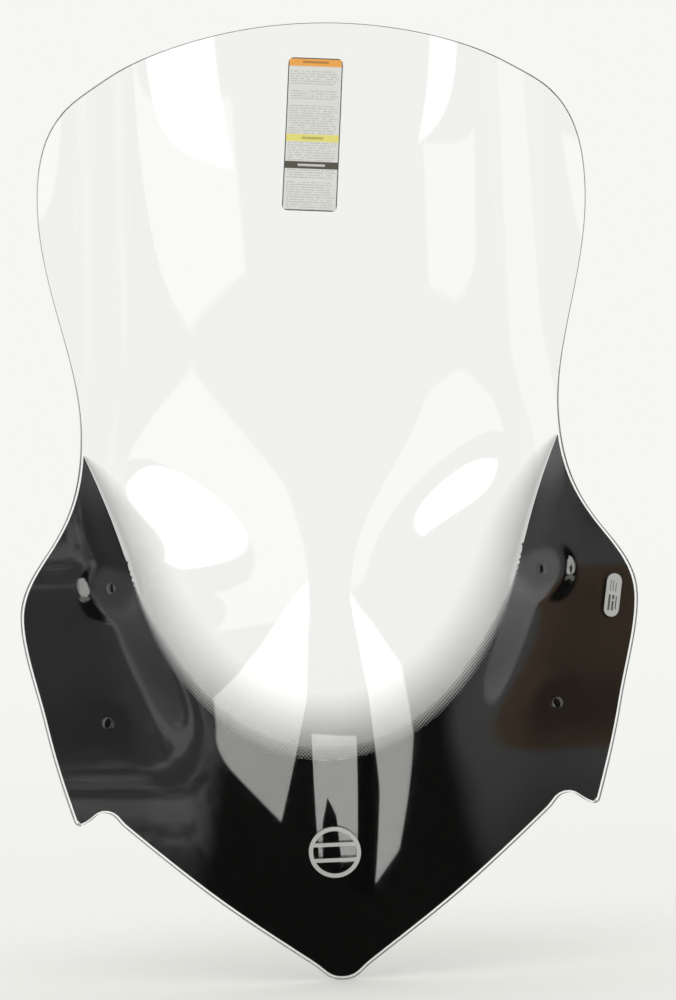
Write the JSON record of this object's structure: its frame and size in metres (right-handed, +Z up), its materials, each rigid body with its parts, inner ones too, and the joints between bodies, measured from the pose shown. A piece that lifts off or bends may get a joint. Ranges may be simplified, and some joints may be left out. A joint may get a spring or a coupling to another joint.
{
  "type": "motorcycle windshield screen",
  "caption": "Clear formed touring windshield for a motorcycle: flared top, drawn-in waist, black printed wings and nose with a U-shaped clear window, screw holes in the wings.",
  "frame": {"origin": "under the middle of the box, level with the lowest point of the V-shaped tip, on the plane of symmetry", "axes": "+Z up the sheet from the tip to the top edge; -Y is the way that the convex face looks, to the front of the motorcycle; +X is to the left of the rider"},
  "size_m": [0.402, 0.1706, 0.6105],
  "materials": {
    "clear_sheet": "clear hard-coated polycarbonate, polished, edges routed and eased",
    "black_print": "black screen-printed ink on the back face, glossy seen through the sheet, satin from behind",
    "paper_label": "white film with coloured bands and grey rules",
    "silver_label": "satin silver film with dark bars",
    "silver_print": "satin silver film"
  },
  "bodies": {
    "root": {"screen_shell": "clear_sheet", "mask_print": "black_print", "care_label": "paper_label", "approval_label": "silver_label", "emblem_decal": "silver_print"}
  },
  "joints": []
}
